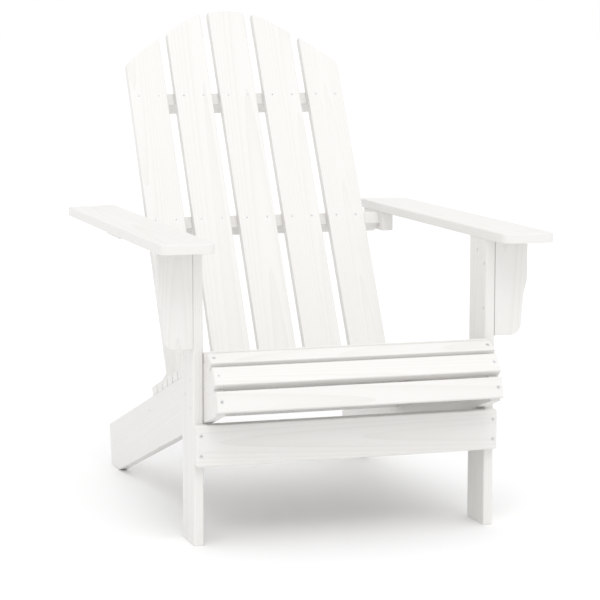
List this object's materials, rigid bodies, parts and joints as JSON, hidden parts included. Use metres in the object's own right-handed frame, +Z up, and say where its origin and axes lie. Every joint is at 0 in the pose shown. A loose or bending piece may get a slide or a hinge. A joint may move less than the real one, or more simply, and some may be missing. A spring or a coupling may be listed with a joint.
{
  "type": "adirondack chair",
  "caption": "Garden armchair of painted boards with a fan-topped reclined slatted back, a slatted seat sloping to the rear and broad flat arms on bracketed front legs.",
  "frame": {"origin": "on the floor, under the middle of the overall box", "axes": "+Z up, the chair faces -Y, +X towards the left hand of a person sitting in it"},
  "size_m": [0.695, 0.864, 0.8951],
  "materials": {
    "white_wood": "matt white paint over softwood, faint grain",
    "screw_steel": "satin"
  },
  "bodies": {
    "root": {"arm_bracket_left": "white_wood", "arm_bracket_right": "white_wood", "arm_left": "white_wood", "arm_right": "white_wood", "arm_screws": "screw_steel", "back_rail_foot": "white_wood", "back_rail_lower": "white_wood", "back_rail_seat": "white_wood", "back_rail_upper": "white_wood", "back_screws": "screw_steel", "back_slat_1": "white_wood", "back_slat_2": "white_wood", "back_slat_3": "white_wood", "back_slat_4": "white_wood", "back_slat_5": "white_wood", "frame_screws": "screw_steel", "front_apron": "white_wood", "front_leg_left": "white_wood", "front_leg_right": "white_wood", "leg_cleat_left": "white_wood", "leg_cleat_right": "white_wood", "nose_slat_lower": "white_wood", "nose_slat_middle": "white_wood", "nose_slat_upper": "white_wood", "rear_cleat_left": "white_wood", "rear_cleat_right": "white_wood", "seat_screws": "screw_steel", "seat_slat_1": "white_wood", "seat_slat_10": "white_wood", "seat_slat_2": "white_wood", "seat_slat_3": "white_wood", "seat_slat_4": "white_wood", "seat_slat_5": "white_wood", "seat_slat_6": "white_wood", "seat_slat_7": "white_wood", "seat_slat_8": "white_wood", "seat_slat_9": "white_wood", "side_rail_left": "white_wood", "side_rail_right": "white_wood"}
  },
  "joints": []
}
